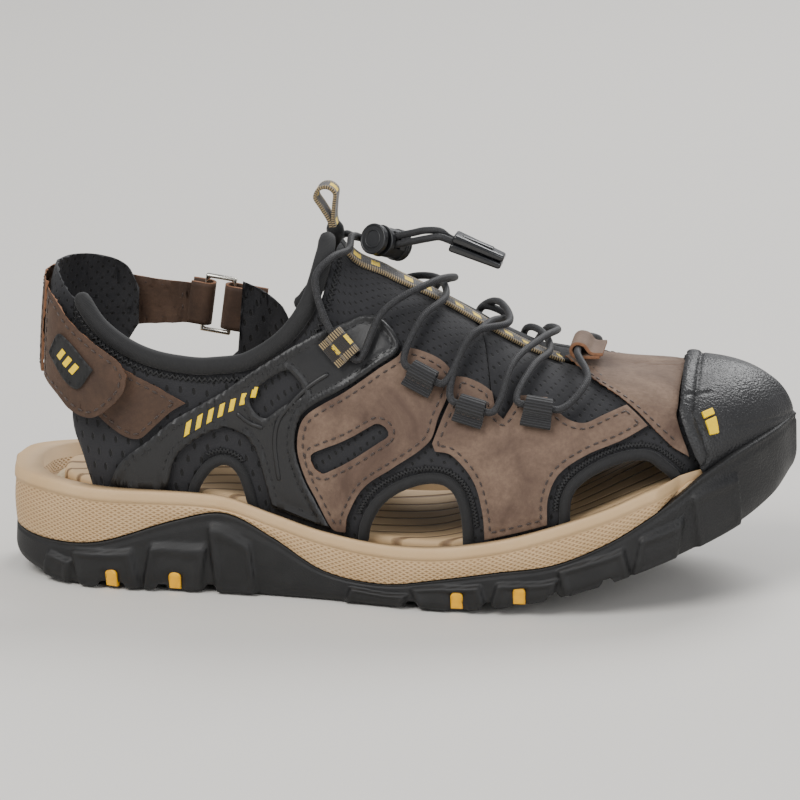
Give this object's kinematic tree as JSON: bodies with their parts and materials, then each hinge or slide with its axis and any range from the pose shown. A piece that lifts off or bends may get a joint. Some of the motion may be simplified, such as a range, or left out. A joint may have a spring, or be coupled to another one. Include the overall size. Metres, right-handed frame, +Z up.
{
  "type": "sport sandal",
  "caption": "Closed-toe sport sandal with cut-out sides, elastic toggle lacing, an open heel with a leather strap, and a thick lugged sole.",
  "frame": {"origin": "centre of the footprint on the ground", "axes": "+X towards the toe, +Y towards the inner side of the foot, +Z up"},
  "size_m": [0.2941, 0.1074, 0.1489],
  "materials": {
    "outsole_rubber": "matt, moulded",
    "midsole_foam": "matt foam",
    "footbed_foam": "matt foam",
    "board_fibre": "fibreboard",
    "insert_rubber": "matt",
    "cap_rubber": "leather grain",
    "moulded_support": "matt",
    "yellow_print": "satin",
    "nubuck": "matt nubuck",
    "lining_mesh": "perforated, matt",
    "binding_fabric": "matt",
    "collar_fabric": "matt, padded",
    "woven_tape": "striped",
    "ribbed_tape": "ribbed",
    "elastic_cord": "braided",
    "hard_plastic": "satin to gloss",
    "badge_rubber": "matt",
    "spring_steel": "drawn wire",
    "nickel_plate": "plated",
    "hook_and_loop": "brushed"
  },
  "bodies": {
    "shoe": {"arch_window_binding_lateral": "binding_fabric", "arch_window_binding_medial": "binding_fabric", "ball_window_binding_lateral": "binding_fabric", "ball_window_binding_medial": "binding_fabric", "centre_tape": "woven_tape", "collar_lateral": "collar_fabric", "collar_medial": "collar_fabric", "cord_clip": "hard_plastic", "elastic_lace": "elastic_cord", "footbed": "footbed_foam", "forefoot_leather_lateral": "nubuck", "forefoot_leather_medial": "nubuck", "heel_pad": "collar_fabric", "heel_strap": "nubuck", "lace_loop_1_lateral": "ribbed_tape", "lace_loop_1_medial": "ribbed_tape", "lace_loop_2_lateral": "ribbed_tape", "lace_loop_2_medial": "ribbed_tape", "lace_loop_3_lateral": "ribbed_tape", "lace_loop_3_medial": "ribbed_tape", "lace_tail_lateral": "elastic_cord", "lace_tail_medial": "elastic_cord", "lasting_board": "board_fibre", "loop_patch": "hook_and_loop", "lug_insert_lateral_1": "insert_rubber", "lug_insert_lateral_2": "insert_rubber", "lug_insert_lateral_3": "insert_rubber", "lug_insert_lateral_4": "insert_rubber", "lug_insert_medial_1": "insert_rubber", "lug_insert_medial_2": "insert_rubber", "lug_insert_medial_3": "insert_rubber", "lug_insert_medial_4": "insert_rubber", "midsole": "midsole_foam", "outsole": "outsole_rubber", "quarter_leather_lateral": "nubuck", "quarter_leather_medial": "nubuck", "quarter_lining_lateral": "lining_mesh", "quarter_lining_medial": "lining_mesh", "ring_chape": "nubuck", "side_support_lateral": "moulded_support", "side_support_medial": "moulded_support", "strap_base": "nubuck", "strap_ring": "nickel_plate", "toe_badge": "yellow_print", "toe_cap": "cap_rubber", "toe_loop": "nubuck", "toe_strap": "nubuck", "toe_window_binding_lateral": "binding_fabric", "toe_window_binding_medial": "binding_fabric", "upper_eyelet_lateral": "woven_tape", "upper_eyelet_medial": "woven_tape", "vamp_lining_lateral": "lining_mesh", "vamp_lining_medial": "lining_mesh"},
    "strap_tab": {"strap_tab": "nubuck", "strap_badge": "badge_rubber", "hook_patch": "hook_and_loop"},
    "cord_lock": {"cord_lock_body": "hard_plastic", "cord_lock_spring": "spring_steel"},
    "lock_button": {"cord_lock_button": "hard_plastic"},
    "pull_tab": {"pull_tab": "woven_tape"}
  },
  "joints": [
    {"name": "strap_tab_peel", "type": "hinge", "parent": "shoe", "child": "strap_tab", "pos_m": [-0.1323, -0.0153, 0.077], "axis": [-0.0567, -0.0221, -0.9981], "range_deg": [0, 100]},
    {"name": "cord_lock_slide", "type": "slide", "parent": "shoe", "child": "cord_lock", "axis": [0.8613, -0.4201, 0.2857], "range_m": [0, 0.01]},
    {"name": "lock_button_press", "type": "slide", "parent": "cord_lock", "child": "lock_button", "axis": [0.5003, 0.8004, -0.3302], "range_m": [0, 0.002], "stiffness_N_per_m": 400, "deforming": ["cord_lock_spring"]},
    {"name": "pull_tab_flex", "type": "hinge", "parent": "shoe", "child": "pull_tab", "pos_m": [-0.0255, 0, 0.133], "axis": [0, 1, 0], "range_deg": [-20, 20], "stiffness_Nm_per_rad": 0.003}
  ]
}
